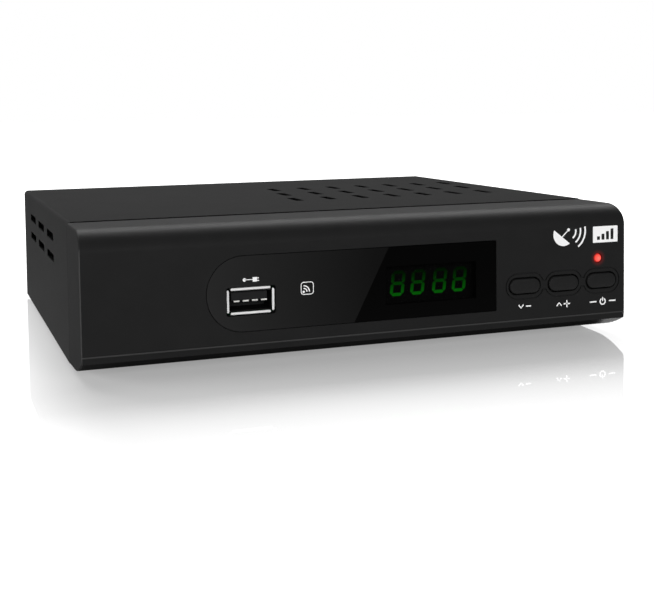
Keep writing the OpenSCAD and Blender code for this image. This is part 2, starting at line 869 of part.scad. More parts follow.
module power_inlet_pin() {
    color("#c9c9c9") translate([inlet_x, 0, inlet_z])
        along_y(rear_y - inlet_pin_l - 1, inlet_pin_l) circle(d = inlet_pin_d);
}

// A part on the main board: a block about a place, of a size
module on_board(x, y, size) {
    translate([x - size[0] / 2, y - size[1] / 2, main_top]) cube(size);
}

module main_chip() { color("#1b1b1b") on_board(sink_x, sink_y, [chip_w, chip_w, chip_h]); }

module heat_sink() {
    pitch = (sink_w - fin_t) / (fins - 1);
    color("#2e2e30") translate([sink_x - sink_w / 2, sink_y - sink_w / 2, main_top + chip_h])
        difference() {
            cube([sink_w, sink_w, sink_h]);
            for (i = [0:fins - 2]) translate([fin_t + i * pitch, -cut, sink_base])
                cube([pitch - fin_t, sink_w + 2 * cut, sink_h]);
        }
}

module memory_chips() {
    color("#1b1b1b") for (x = [-20, -6]) on_board(sink_x + x, sink_y - 27, [9, 13, 1.2]);
}
module flash_chip() { color("#1b1b1b") on_board(sink_x + 24, sink_y - 20, [6, 8, 1.6]); }
module crystal() { color("#cfcfcf") on_board(sink_x - 20, sink_y + 4, [4.6, 11, 3.6]); }

module electrolytic_capacitors() {
    color("#26333f") for (i = [0, 1], j = [0, 1]) translate([
        capacitor_x + i * capacitor_step, main_front + 26 + j * capacitor_step, main_top
    ]) cylinder(d = capacitor_d, h = capacitor_h);
}
module power_inductors() {
    color("#3c3c3c") for (i = [0, 1]) on_board(
        inductor_x + i * inductor_step, main_front + 60, [inductor_w, inductor_w, inductor_h]
    );
}

front_panel();
display_lens();
channel_down_button();
channel_up_button();
power_button();
channel_down_stem();
channel_up_stem();
power_stem();
channel_down_switch();
channel_up_switch();
power_switch();
front_board();
front_controller();
display_module();
display_segments();
power_led();
infrared_receiver();
usb_shell();
usb_tongue();
usb_contacts();
front_board_screws();
front_link_socket();
main_link_socket();
link_ribbon();
base_tray();
board_standoffs();
rubber_feet();
top_cover();
cover_screws();
panel_screws();
main_board();
main_board_screws();
tuner_can();
aerial_in_connector();
loop_out_connector();
aerial_insulators();
aerial_washers();
aerial_nuts();
hdmi_shell();
hdmi_tongue();
phono_block();
phono_barrels();
video_insert();
audio_left_insert();
audio_right_insert();
power_inlet();
power_inlet_pin();
main_chip();
heat_sink();
memory_chips();
flash_chip();
crystal();
electrolytic_capacitors();
power_inductors();
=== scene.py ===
from math import pi, radians

import bmesh
import bpy
import numpy as np
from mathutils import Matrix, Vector


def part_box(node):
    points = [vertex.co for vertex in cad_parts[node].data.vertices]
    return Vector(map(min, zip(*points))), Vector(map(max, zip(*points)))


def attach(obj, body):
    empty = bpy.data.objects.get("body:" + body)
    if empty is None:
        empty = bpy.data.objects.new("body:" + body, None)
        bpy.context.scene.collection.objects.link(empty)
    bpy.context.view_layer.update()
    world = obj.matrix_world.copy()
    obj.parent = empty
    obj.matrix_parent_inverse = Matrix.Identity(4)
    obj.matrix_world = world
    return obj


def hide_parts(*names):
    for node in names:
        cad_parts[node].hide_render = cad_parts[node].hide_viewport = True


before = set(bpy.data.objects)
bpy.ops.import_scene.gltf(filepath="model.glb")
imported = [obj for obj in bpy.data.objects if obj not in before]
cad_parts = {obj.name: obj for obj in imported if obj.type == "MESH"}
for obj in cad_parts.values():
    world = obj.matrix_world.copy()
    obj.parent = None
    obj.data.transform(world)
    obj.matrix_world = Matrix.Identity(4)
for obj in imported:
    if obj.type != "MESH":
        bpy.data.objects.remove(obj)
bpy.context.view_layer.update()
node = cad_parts

# The view: from the left and a little above, close enough for the far end to look small.
# The lens is shifted down, because the camera looks almost level and the case stands low in it.
camera = bpy.data.objects.new("camera", bpy.data.cameras.new("camera"))
bpy.context.scene.collection.objects.link(camera)
bpy.context.scene.camera = camera
camera.location = (-0.12441, -0.38366, 0.07496)
camera.rotation_euler = (1.51140, 0.01234, -0.34970)
camera.data.sensor_width = 36
camera.data.lens = 62.106
camera.data.shift_y = -0.1904
camera.data.clip_start = 0.01
bpy.context.scene.view_settings.view_transform = "Standard"


# The table: a glossy white top that runs into a white room. It mirrors the case near the
# case's foot, and the mirror image fades as it leaves the front. It is clear from below.
def join(tree, made, inputs):
    """Links a node's inputs to the sockets given for them, or sets them to the values."""
    for key, value in inputs.items():
        if isinstance(value, bpy.types.NodeSocket):
            tree.links.new(value, made.inputs[key])
        else:
            made.inputs[key].default_value = value


def nodes_of(tree):
    """Gives a function that adds a node to a tree. Settings that are only a word are the
    node's operation, and a list of inputs fills them in their order."""
    def add(kind, settings=None, inputs=None, out=0):
        made = tree.nodes.new("ShaderNode" + kind)
        if isinstance(settings, str):
            settings = {"operation": settings}
        for key, value in (settings or {}).items():
            setattr(made, key, value)
        join(tree, made, dict(enumerate(inputs)) if isinstance(inputs, list) else inputs or {})
        return made.outputs[out] if made.outputs else made
    return add


def material(name, empty=False):
    """A material, empty or with the usual shader, and the function that adds nodes to it."""
    look = bpy.data.materials.new(name)
    look.use_nodes = True
    if empty:
        look.node_tree.nodes.clear()
    return look, nodes_of(look.node_tree)


def parts_of(add, vector):
    """The x, y and z of a vector."""
    return add("SeparateXYZ", inputs=[vector]).node.outputs


def blend(add, share, low, high):
    """The colour that lies the given share of the way from low to high."""
    return add("Mix", {"data_type": "RGBA"}, {0: share, 6: low, 7: high}, out=2)


def span(add, value, start, end, low=0.0, high=1.0, curve="LINEAR"):
    """Carries a value's way from start to end over to the way from low to high."""
    return add("MapRange", {"interpolation_type": curve},
               {"Value": value, "From Min": start, "From Max": end, "To Min": low, "To Max": high})


def surface(name, points, faces, sharp=30):
    """A piece from an array of points in millimetres and a list of faces. Its faces are
    turned outwards, and edges that bend by more than the angle stay sharp."""
    mesh = bpy.data.meshes.new(name)
    mesh.from_pydata((np.asarray(points, float).reshape(-1, 3) * 0.001).tolist(), [], faces)
    piece = bpy.data.objects.new(name, mesh)
    bpy.context.scene.collection.objects.link(piece)
    return settle(piece, sharp)


def settle(piece, sharp=30):
    """Merges a piece's doubles, turns its faces outwards and marks its sharp edges."""
    shape = bmesh.new()
    shape.from_mesh(piece.data)
    bmesh.ops.remove_doubles(shape, verts=shape.verts, dist=1e-7)
    bmesh.ops.recalc_face_normals(shape, faces=shape.faces)
    shape.to_mesh(piece.data)
    shape.free()
    piece.data.shade_smooth()
    piece.data.set_sharp_from_angle(angle=radians(sharp))
    return piece


floor_points = np.array([[-4000, -3000, 0], [4000, -3000, 0], [4000, 5000, 0], [-4000, 5000, 0]])
floor = surface("table_top", floor_points, [[0, 1, 2, 3]])
floor_look, add = material("table_white", empty=True)
# how far a point of the table lies outside the case's footprint of 170 by 165 mm
place = add("TexCoord", out=3)
beyond = add("VectorMath", "ABSOLUTE", [place])
beyond = add("VectorMath", "SUBTRACT", [beyond, (0.085, 0.0825, 1.0)])
beyond = add("VectorMath", "MAXIMUM", [beyond, (0.0, 0.0, 0.0)])
distance = add("VectorMath", "LENGTH", [beyond], out=1)
fade = span(add, distance, -0.06, 0.168, 0.67, 0.0, "SMOOTHSTEP")
left = span(add, parts_of(add, place)[0], -0.12, -0.08, 0.22, 1.0, "SMOOTHSTEP")
fade = add("Math", "MULTIPLY", [fade, left])
far = span(add, distance, 0.05, 0.3, 0.66, 1.0, "SMOOTHSTEP")
seen = add("LightPath")
colour = blend(add, seen, (0.2, 0.2, 0.2, 1), (0.8, 0.8, 0.8, 1))
white = add("BsdfDiffuse", inputs={"Color": colour})
shine = add("Math", "MULTIPLY", [seen, far])
light = add("Emission", inputs={"Strength": shine})
pale = add("AddShader", inputs=[white, light])
mirror = add("BsdfAnisotropic", inputs={"Color": (1, 1, 1, 1), "Roughness": 0.0})
top = add("MixShader", inputs=[fade, pale, mirror])
clear = add("BsdfTransparent")
both = add("MixShader", inputs=[add("NewGeometry", out=6), top, clear])
add("OutputMaterial", inputs={"Surface": both})
floor.data.materials.append(floor_look)

# The room: white where the camera sees it, itself or in the table's polish, and dim as a light,
# so that the lamps shape the case.
room = bpy.data.worlds.new("white_room")
bpy.context.scene.world = room
room.use_nodes = True
room.node_tree.nodes.clear()
add = nodes_of(room.node_tree)
seen = add("Math", "MAXIMUM", [add("LightPath"), add("LightPath", out=4)])
strength = add("Math", "MAXIMUM", [seen, 0.08])
back = add("Background", inputs={"Color": (1, 1, 1, 1), "Strength": strength})
add("OutputWorld", inputs={"Surface": back})


# The lamps: a small one overhead, one at the left, a wide one in front, and a long one behind.
# Only the long one is mirrored: it draws the bright line along the panel's brow.
def aimed(name, place, target, size, power, mirrored=True):
    """A soft oblong lamp at a place, turned towards a target, both in metres. One that
    isn't mirrored lights surfaces without a highlight."""
    made = bpy.data.objects.new(name, bpy.data.lights.new(name, "AREA"))
    made.data.shape = "RECTANGLE"
    made.data.size, made.data.size_y = size
    made.data.energy = power
    bpy.context.scene.collection.objects.link(made)
    away = Vector([p - t for p, t in zip(place, target)])
    made.location = place
    made.rotation_euler = away.to_track_quat("Z", "Y").to_euler()
    made.visible_glossy = mirrored


aimed("overhead_lamp", (0.0, 0.1, 0.25), (0.0, 0.09, 0), (0.5, 0.12), 0.6, mirrored=False)
aimed("left_lamp", (-1.0, 0.1, 0.14), (0, 0.0, 0), (0.8, 0.4), 15.5, mirrored=False)
aimed("brow_lamp", (0.1, 0.62, 0.72), (0, -0.08, 0.03), (1.6, 0.32), 5.6)
aimed("front_lamp", (-0.1, -1.3, 0.35), (0, 0, 0.02), (1.4, 0.5), 16.5, mirrored=False)


# The front panel: one black moulding of satin plastic, with a brow that rounds into the top
# and an undercut chin. Its lens seat, button holes and grooves are moulded in.
low, high = (np.array(c) * 1000 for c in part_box("top_cover"))
side, seam, rear, under, roof = high[0], low[1], high[1], low[2], high[2]
face = seam - 24.7


def across(points, rest, axis):
    """Turns outlines in two directions and their place in the third into points in space:
    axis is the third direction."""
    points = np.asarray(points, float)
    rest = np.broadcast_to(np.asarray(rest, float), points.shape[:-1])
    a, b = points[..., 0], points[..., 1]
    order = {"x": (rest, a, b), "y": (a, rest, b), "z": (a, b, rest)}[axis]
    return np.stack(order, -1)


def quads(rows, columns, round_rows=False):
    """The faces of a grid of points: each joins a point to its next in row and column. The
    last column joins the first, and the last row may."""
    r = np.arange(rows if round_rows else rows - 1)[:, None]
    c = np.arange(columns)[None, :]
    r2, c2 = (r + 1) % rows, (c + 1) % columns
    corners = [r * columns + c, r * columns + c2, r2 * columns + c2, r2 * columns + c]
    return np.stack(corners, -1).reshape(-1, 4).tolist()


def closed(rings):
    """A stack of rings with the same count of points, and a flat face over each end."""
    k, n = rings.shape[:2]
    ends = [list(range(n)), list(range((k - 1) * n, k * n))]
    return rings.reshape(-1, 3), quads(k, n) + ends


def loft(layers, axis="y"):
    """A closed solid from (outline, place) pairs, each outline lying square to the axis."""
    return closed(np.stack([across(outline, place, axis) for outline, place in layers]))


def band(outer, inner, start, end):
    """A closed band between two outlines with the same count of points, from start to end."""
    rows = np.stack([across(outline, y, "y") for outline, y in
                     ((outer, start), (outer, end), (inner, end), (inner, start))])
    return rows.reshape(-1, 3), quads(4, len(outer), round_rows=True)


def together(solids):
    """Several solids as one set of points and faces."""
    points, faces, start = [], [], 0
    for p, f in solids:
        points.append(p.reshape(-1, 3))
        faces += [[i + start for i in corners] for corners in f]
        start += len(points[-1])
    return np.concatenate(points), faces


def oblong(x, z, w, h):
    """Half circles of radius h/2 about two points (w - h)/2 either side of the middle."""
    t = np.linspace(-pi / 2, pi / 2, 14)
    right = np.stack([(w - h) / 2 + h / 2 * np.cos(t), h / 2 * np.sin(t)], -1)
    return np.concatenate([right, -right]) + (x, z)


def rounded(x, z, w, h, r):
    """A rectangle whose corners are quarter circles of radius r."""
    t = np.linspace(0, pi / 2, 6)
    arc = r * np.stack([np.cos(t), np.sin(t)], -1)
    a, b = w / 2 - r, h / 2 - r
    flip = arc[::-1]
    return np.concatenate([arc + (a, b), flip * (-1, 1) + (-a, b),
                           arc * (-1, -1) + (-a, -b), flip * (1, -1) + (a, -b)]) + (x, z)


def disc(x, z, r, n=48):
    """A circle of radius r as n points."""
    t = np.linspace(0, 2 * pi, n, endpoint=False)
    return np.stack([x + r * np.cos(t), z + r * np.sin(t)], -1)


def mouth(shape, lip, depth):
    """The cutter of a hole in the face whose edge is rounded by a quarter circle of radius
    lip: the outline grows by lip (1 - sin a) at the depth lip (1 - cos a)."""
    layers = [(shape(lip), face - 1)]
    layers += [(shape(lip * (1 - np.sin(a))), face + lip * (1 - np.cos(a)))
               for a in np.linspace(0, pi / 2, 5)]
    return loft(layers + [(shape(0), face + depth)])


def carve(piece, cutters, sharp=30):
    """Takes each closed solid out of a piece."""
    for cutter in cutters:
        tool = surface("cutter", *cutter)
        cut = piece.modifiers.new("cut", "BOOLEAN")
        cut.operation, cut.solver, cut.object = "DIFFERENCE", "EXACT", tool
        ready = piece.evaluated_get(bpy.context.evaluated_depsgraph_get())
        mesh = bpy.data.meshes.new_from_object(ready)
        piece.modifiers.clear()
        piece.data = mesh
        bpy.data.objects.remove(tool)
    return settle(piece, sharp)


def even(piece):
    """Shades large flat faces flat and the small ones between them round."""
    weigh = piece.modifiers.new("even", "WEIGHTED_NORMAL")
    weigh.keep_sharp = True
    weigh.weight = 80
    return piece


def bent(corners, reach):
    """A path through corners, each rounded by a curve that leaves the straight lines
    reach before and after it: (1-t)^2 A + 2t(1-t) B + t^2 C."""
    corners = np.asarray(corners, float)
    t = np.linspace(0, 1, 5)[:, None]
    path = [corners[:1]]
    for a, b, c in zip(corners[:-2], corners[1:-1], corners[2:]):
        p = b + (a - b) / np.linalg.norm(a - b) * min(reach, np.linalg.norm(a - b) / 2)
        q = b + (c - b) / np.linalg.norm(c - b) * min(reach, np.linalg.norm(c - b) / 2)
        path.append((1 - t) ** 2 * p + 2 * t * (1 - t) * b + t ** 2 * q)
    return np.concatenate(path + [corners[-1:]])


def source(look, name):
    """What feeds an input of a material's shader."""
    return look.node_tree.nodes["Principled BSDF"].inputs[name].links[0].from_socket


def feed(look, inputs):
    """Links or sets inputs of a material's shader."""
    join(look.node_tree, look.node_tree.nodes["Principled BSDF"], inputs)


def finish(name, colour, rough, metal=0.0, specular=0.5, grain=0.25, height=0.006,
           mottle=0.12, spread=8.0, coat=0.0):
    """Plastic, paint or metal: a colour that drifts by the share mottle over patches of
    spread millimetres, a roughness that drifts with the grain, and bumps of a size grain
    and height in millimetres."""
    look, add = material(name)
    place = add("TexCoord", out=3)
    slow = add("TexNoise", inputs={"Vector": place, "Scale": 1000 / spread, "Detail": 4.0})
    fine = add("TexNoise", inputs={"Vector": place, "Scale": 1000 / grain, "Detail": 2.0})
    low = [c * (1 - mottle) for c in colour] + [1]
    high = [min(1, c * (1 + mottle)) for c in colour] + [1]
    bump = add("Bump", inputs={"Height": fine, "Strength": 0.5, "Distance": height * 0.001})
    feed(look, {"Base Color": blend(add, slow, low, high), "Normal": bump,
                "Roughness": span(add, fine, 0.0, 1.0, rough * 0.9, rough * 1.1),
                "Metallic": metal, "Specular IOR Level": specular,
                "Coat Weight": coat, "Coat Roughness": 0.05})
    return look


def fit(piece, look, old=None, body="case"):
    """Gives a piece its look and the body that it rides on, and puts it in the
    place of the CAD node old."""
    piece.data.materials.clear()
    piece.data.materials.append(look)
    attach(piece, body)
    if old:
        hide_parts(old)


def panel_edge():
    """The panel seen from its side: a top a little lower than the cover's, a quarter ellipse
    for the brow, the flat face, a fine step, the facet under it and the chin, which bulges
    by 4 u (1 - u) of 0.7 mm."""
    t = np.linspace(0, pi / 2, 25)
    brow = np.stack([8.5 - 8.5 * np.sin(t), roof - 6.5 + 6.25 * np.cos(t)], -1)
    low = bent([[0, 12], [0, 8.15], [0.14, 8.05], [0.02, 7.75], [0.25, 5.9], [3.5, 3.85]], 0.12)
    u = np.linspace(0.25, 1, 12)
    chin = np.stack([0.25 + 13.3 * u, 5.9 - 4.2 * u - 2.8 * u * (1 - u)], -1)
    back = np.array([[24.7, under]])
    return np.concatenate([[[24.7, roof - 0.3], [17, roof - 0.25]], brow, low[:-1], chin, back])


# the edges at both ends are rounded: the outline is drawn in by corner (1 - cos t) where it
# lies corner (1 - sin t) from the end, and the corner is larger at the brow
edge = panel_edge()
slope = np.gradient(edge, axis=0)
slope /= np.linalg.norm(slope, axis=1, keepdims=True)
inward = np.stack([-slope[:, 1], slope[:, 0]], -1)
inward *= np.sign((inward * (np.array([12, 20]) - edge)).sum(1))[:, None]
corner = 0.4 + 0.5 * np.clip((edge[:, 1] - 37) / 5, 0, 1) ** 2
t = np.linspace(0, pi / 2, 6)[:, None, None]
rings = edge + inward * (corner[:, None] * (1 - np.cos(t)))
ends = side - corner * (1 - np.sin(t[..., 0]))
rings = across(rings + (face, 0), ends, "x")
rings = np.concatenate([(rings * (-1, 1, 1))[::-1], rings])
panel = surface("panel_moulding", *closed(rings))

# where things lie on the face, and the board behind it with its four screws
lens_x, lens_z, lens_h = (-50.6, 39.2), 22.1, 21.3
keys, key_z = (49.1, 62.7, 76.3), 18.3
led, port, display, infrared = (75.2, 25.4), (-37.8, 20.0), (18.3, 21.4), (-21.2, 22.4)
board_face = face + 10.5
board_holes = ((-56, 31.2), (-56, 13.8), (46, 31.2), (67, 31.2))


def lens_shape(grow):
    """A half circle on the left and a square end on the right whose corners are round."""
    r = lens_h / 2 + grow
    t = np.linspace(pi / 2, 3 * pi / 2, 24)
    left = np.stack([lens_x[0] + lens_h / 2 + r * np.cos(t), lens_z + r * np.sin(t)], -1)
    c = 0.35 + grow / 2
    s = np.linspace(0, pi / 2, 4)
    foot = np.stack([lens_x[1] + grow - c + c * np.sin(s), lens_z - r + c - c * np.cos(s)], -1)
    return np.concatenate([left, foot, foot[::-1] * (1, -1) + (0, 2 * lens_z)])


def groove_shape(shrink):
    """The outline of three ovals and the necks between them: arcs of radius h/2 that stop
    where they meet the necks, at the angle asin(neck / radius)."""
    w, r, neck = 13.4 - 2 * shrink, 4.08 - shrink, 1.55 - shrink
    phi = np.arcsin(neck / r)
    top = []
    for i, x in enumerate(keys):
        a = np.linspace(pi if i == 0 else pi - phi, pi / 2, 10)
        b = np.linspace(pi / 2, 0 if i == 2 else phi, 10)
        top.append(np.stack([x - w / 2 + r + r * np.cos(a), r * np.sin(a)], -1))
        top.append(np.stack([x + w / 2 - r + r * np.cos(b), r * np.sin(b)], -1))
    top = np.concatenate(top)
    return np.concatenate([top, (top * (1, -1))[::-1][1:-1]]) + (0, key_z)


def port_shape(grow):
    """The port's opening: a rectangle with small round corners."""
    return rounded(*port, 14.4 + 2 * grow, 8.1 + 2 * grow, 0.65 + grow)


# the hollow behind the face, seen from its side: the wall is 2.5 mm thick
wall = 2.5
t = np.linspace(pi, pi / 2, 8)
hollow = np.concatenate([[[25.7, 3.7], [13.3, 3.7], [wall, 8.4]],
                         np.stack([4 + wall + 4 * np.cos(t), roof - wall - 4 + 4 * np.sin(t)], -1),
                         [[25.7, roof - wall]]]) + (face, 0)
groove = band(groove_shape(-0.02), groove_shape(0.36), face - 0.5, face + 0.4)
cutters = [loft([(hollow, wall - side), (hollow, side - wall)], "x"),
           mouth(lambda g: lens_shape(0.15 + g), 0.1, 1.5), groove,
           mouth(lambda g: disc(*led, 1.55 + g), 0.1, 4)]
cutters += [mouth(lambda g, x=x: oblong(x, key_z, 11.2 + 2 * g, 5.3 + 2 * g), 0.2, 4)
            for x in keys]
cutters += [loft([(port_shape(0), face), (port_shape(0), face + 4)]),
            loft([(rounded(*display, 31.6, 12.6, 0.3), y) for y in (face, face + 4)]),
            loft([(disc(*infrared, 3), y) for y in (face, face + 4)])]
even(carve(panel, cutters))
panel_look = finish("panel_plastic_black", (0.0136, 0.0136, 0.0137), 0.46, specular=0.2,
                    grain=0.22, height=0.005)
add = nodes_of(panel_look.node_tree)
# painted glow: a faint red emission in the plastic round the power light stands in for the diode's
# light falling on it
place = add("TexCoord", out=3)
off = add("VectorMath", "DISTANCE", [place, (led[0] / 1000, face / 1000, led[1] / 1000)], 1)
glow = span(add, off, 0.0012, 0.003, 0.06, 0.0, "SMOOTHERSTEP")
# painted highlight: the fine ridge above the facet and the upright edges at both sides are painted
# a little paler where they would catch the light, and the ends are more matt
x, y, z = parts_of(add, place)
aside = add("Math", "ABSOLUTE", [x])
ends = span(add, aside, (side - 0.5) / 1000, (side - 0.1) / 1000, 0.0, 0.36, "SMOOTHSTEP")
ridge = add("Math", "COMPARE", [z, 0.0078, 0.0002])
corner = add("Math", "GREATER_THAN", [aside, (side - 0.28) / 1000])
edge_highlight = add("Math", "MAXIMUM", [ridge, corner])
ahead = add("Math", "LESS_THAN", [y, (face + 0.3) / 1000])
edge_highlight = add("Math", "MULTIPLY", [edge_highlight, ahead])
tone = blend(add, edge_highlight, source(panel_look, "Base Color"), (0.038, 0.038, 0.038, 1))
feed(panel_look, {"Base Color": tone,
                  "Roughness": add("Math", "ADD", [source(panel_look, "Roughness"), ends]),
                  "Emission Strength": glow, "Emission Color": (1.0, 0.03, 0.03, 1)})
fit(panel, panel_look, "front_panel")

# the rim slides into the cover, 0.15 mm clear of its sheet
t = np.linspace(0, pi / 2, 5)
arc = np.stack([np.cos(t), np.sin(t)], -1)
half = np.concatenate([[[side - 0.95, 6.2]], arc * 0.7 + (side - 1.65, roof - 1.65)])
back = np.array([[side - wall, 6.2], [side - wall, roof - wall]])
rim = np.concatenate([half, (half * (-1, 1))[::-1], back * (-1, 1), back[::-1]])
bosses = [loft([(disc(*hole, 2.5), y) for y in (face + 2.4, board_face)]) for hole in board_holes]
inside = surface("panel_rim_and_bosses", *together(
    [loft([(rim, seam - 0.1), (rim, seam + 4)])] + bosses))
fit(inside, panel_look, "front_panel")


# The lens: a smoked acrylic plate pressed flush into its seat. Left of a slanted edge a painted
# reflection makes it paler, fading to the right; right of the edge it is black, and it is clear in
# front of the display.
plate = [(lens_shape(-0.1 * (1 - np.cos(a))), face + 0.1 * (1 - np.sin(a)))
         for a in np.linspace(pi / 2, 0, 4)]
lens = surface("lens_plate", *loft(plate + [(lens_shape(0), face + 1.5)]))
even(carve(lens, [loft([(port_shape(0), face - 1), (port_shape(0), face + 4)])]))
lens_look, add = material("smoked_lens", empty=True)
place = add("TexCoord", out=3)
# the slanted edge runs through (4.0, 32.7) and (-6.8, 11.8) on the face
along = add("VectorMath", "DOT_PRODUCT", [place, (0.8884, 0.0, -0.4591)], out=1)
reflection_edge = span(add, along, -0.01148, -0.01143)
reflection_fade = span(add, parts_of(add, place)[0], -0.05, 0.0)
# painted reflection: left of the slanted edge the lens is paler at its left end and fades to near
# black towards the right
tone = blend(add, reflection_fade, (0.02, 0.02, 0.02, 1), (0.006, 0.006, 0.006, 1))
dust = add("TexNoise", inputs={"Vector": place, "Scale": 900.0, "Detail": 3.0})
gloss = span(add, dust, 0.0, 1.0, 0.06, 0.1)
smoked = add("BsdfPrincipled", inputs={"Base Color": tone, "Roughness": gloss,
                                       "Specular IOR Level": 0.04})
black = add("BsdfPrincipled", inputs={"Base Color": (0.0015, 0.0015, 0.0015, 1),
                                      "Roughness": gloss, "Specular IOR Level": 0.03})
face_look = add("MixShader", inputs=[reflection_edge, smoked, black])
# the clear window is 29.4 mm wide and 11.2 mm high
off = add("VectorMath", "SUBTRACT", [place, (0.0177, 0.0, 0.0214)])
x, y, z = parts_of(add, add("VectorMath", "ABSOLUTE", [off]))
wide = add("Math", "LESS_THAN", [x, 0.0147])
tall = add("Math", "LESS_THAN", [z, 0.0056])
window = add("Math", "MULTIPLY", [add("Math", "MULTIPLY", [wide, tall]), 0.9])
clear = add("BsdfTransparent", inputs={"Color": (0.95, 0.95, 0.95, 1)})
whole = add("MixShader", inputs=[window, face_look, clear])
add("OutputMaterial", inputs={"Surface": whole})
fit(lens, lens_look, "display_lens")


# The buttons: three moulded caps that stand just proud of the panel, each with a rim that
# holds it behind the hole and a foot that reaches its stem.
button_look = finish("button_plastic_black", (0.0138, 0.0138, 0.0139), 0.4, specular=0.25,
                     grain=0.2, height=0.004)


def cap(x, shrink):
    """A button's outline, drawn in all round."""
    return oblong(x, key_z, 10.3 - 2 * shrink, 4.45 - 2 * shrink)


for body, x in zip(("channel_down_button", "channel_up_button", "power_button"), keys):
    crown = [(cap(x, 1.7), face - 0.5), (cap(x, 1.1), face - 0.485), (cap(x, 0.6), face - 0.44)]
    crown += [(cap(x, 0.35 * (1 - np.sin(a))), face - 0.04 - 0.35 * np.cos(a))
              for a in np.linspace(0.15, pi / 2, 6)]
    rim = [(oblong(x, key_z, 11.8, 7.3), face + 2.8), (oblong(x, key_z, 11.8, 7.3), face + 4)]
    foot = [(disc(x, key_z, 2.25), face + 4), (disc(x, key_z, 2.25), face + 5.4)]
    button = surface(body + "_cap", *together(
        [loft(crown + [(cap(x, 0), face + 2.9)]), loft(rim), loft(foot)]), sharp=35)
    fit(button, button_look, body, body)


# The cover: one steel sheet bent down at both sides, powder coated black. Its slots are
# punched, and a lip at the back takes three screws.
def cover_shape(margin):
    """A bridge whose outer corners are quarter circles of 1.5 mm and inner ones of 0.7 mm."""
    t = np.linspace(0, pi / 2, 9)
    arc = np.stack([np.cos(t), np.sin(t)], -1)
    out = np.concatenate([[[side - margin, under]],
                          arc * (1.5 - margin) + (side - 1.5, roof - 1.5)])
    back = np.concatenate([[[side - 0.8, under]], arc * 0.7 + (side - 1.5, roof - 1.5)])
    half = np.concatenate([back[::-1], out])
    return np.concatenate([out, (out * (-1, 1))[::-1], back * (-1, 1), back[::-1]])


sheet = [(cover_shape(0.2), seam + 0.2), (cover_shape(0.06), seam + 0.26),
         (cover_shape(0), seam + 0.4), (cover_shape(0), rear - 0.2), (cover_shape(0.15), rear)]
lip_low, lip_high, lip_w = 35, roof - 0.4, 160
lip_points = rounded(0, (lip_low + lip_high) / 2, lip_w, lip_high - lip_low, 0.6)
cover = surface("cover_sheet", *loft(sheet))
lip = surface("cover_lip", *loft([(lip_points, rear - 0.8), (lip_points, rear - 0.1)]))
# three rows of seven slots in the top and two rows of three in each side: a slot is wider by
# the first number of flare at the height of the second, so its edges are round
flare = ((0.12, 1), (0.12, 0), (0.03, -0.06), (0, -0.12), (0, -2))
slot_w, slot_l, vent_w, vent_h = 2.8, 11.5, 18, 2.4
slots = [loft([(rounded(side - 15.5 - 12 * i + 3 * j, face + 66 + 22 * j, slot_w + g, slot_l + g,
                        0.6), roof + h) for g, h in flare], "z")
         for i in range(7) for j in range(3)]
vents = [loft([(rounded(face + 68 + 27.2 * i, roof - 8.2 - 6.6 * j, vent_w + g, vent_h + g, 0.6),
                s * (side + h)) for g, h in flare], "x")
         for i in range(3) for j in range(2) for s in (-1, 1)]
even(carve(cover, [together(slots), together(vents)]))
cover_look = finish("cover_powder_black", (0.0162, 0.0162, 0.0162), 0.65, specular=0.06,
                    grain=0.35, height=0.02, spread=15)
# painted shade: the punched edges, the inner side and the front edge at the seam are painted near
# black for the shade in the slots, under the sheet and along the seam; the edges and inner side lie
# less than 1.48 mm from a box that is 1.5 mm smaller than the cover all round
add = nodes_of(cover_look.node_tree)
place = add("TexCoord", out=3)
deep = add("VectorMath", "ABSOLUTE", [place])
deep = add("VectorMath", "SUBTRACT", [deep, ((side - 1.5) / 1000, 1.0, (roof - 1.5) / 1000)])
deep = add("VectorMath", "MAXIMUM", [deep, (0.0, 0.0, 0.0)])
inside = add("Math", "LESS_THAN", [add("VectorMath", "LENGTH", [deep], out=1), 0.00148])
along = parts_of(add, place)[1]
ahead = add("Math", "LESS_THAN", [along, (rear - 1) / 1000])
front = add("Math", "LESS_THAN", [along, (seam + 0.35) / 1000])
slot_and_seam_shade = add("Math", "MULTIPLY", [inside, ahead])
slot_and_seam_shade = add("Math", "MAXIMUM", [slot_and_seam_shade, front])
tone = blend(add, slot_and_seam_shade, source(cover_look, "Base Color"), (0.0015, 0.0015, 0.0015, 1))
feed(cover_look, {"Base Color": tone})
for piece in (cover, lip):
    fit(piece, cover_look, "top_cover")


# The display: a black block on the front board with four lit digits of seven segments.
# Their light is strongest at the foot of each digit.
def dress(name, look):
    """Gives a CAD node a material in place of its plain one."""
    node[name].data.materials.clear()
    node[name].data.materials.append(look)


dress("display_module", finish("display_black", (0.003, 0.003, 0.003), 0.7, specular=0.02))
segment_look, add = material("lit_segments")
place = add("TexCoord", out=3)
glow = span(add, parts_of(add, place)[2], 0.0181, 0.0257, 1.0, 0.12)
glow = add("Math", "POWER", [glow, 2.0])
cell = add("TexNoise", inputs={"Vector": place, "Scale": 2500.0, "Detail": 1.0})
cell = span(add, cell, 0.0, 1.0, 0.75, 1.1)
glow = add("Math", "MULTIPLY", [glow, cell])
feed(segment_look, {"Emission Strength": add("Math", "MULTIPLY", [glow, 0.115]),
                    "Emission Color": (0.02, 1.0, 0.03, 1), "Base Color": (0.0, 0.003, 0.0, 1),
                    "Roughness": 0.6, "Specular IOR Level": 0.02})
dress("display_segments", segment_look)


# The power light: a red diode whose dome fills its hole in the panel, lit from inside, so
# the middle of the dome is palest and its rim is deep red.
def turned(path, a, b, n=40, axis="y"):
    """A closed solid turned about an axis through (a, b): path gives the distance from the
    axis and the place along it, and each end closes on the axis."""
    return loft([(disc(a, b, max(r, 0.004), n), place) for r, place in path], axis)


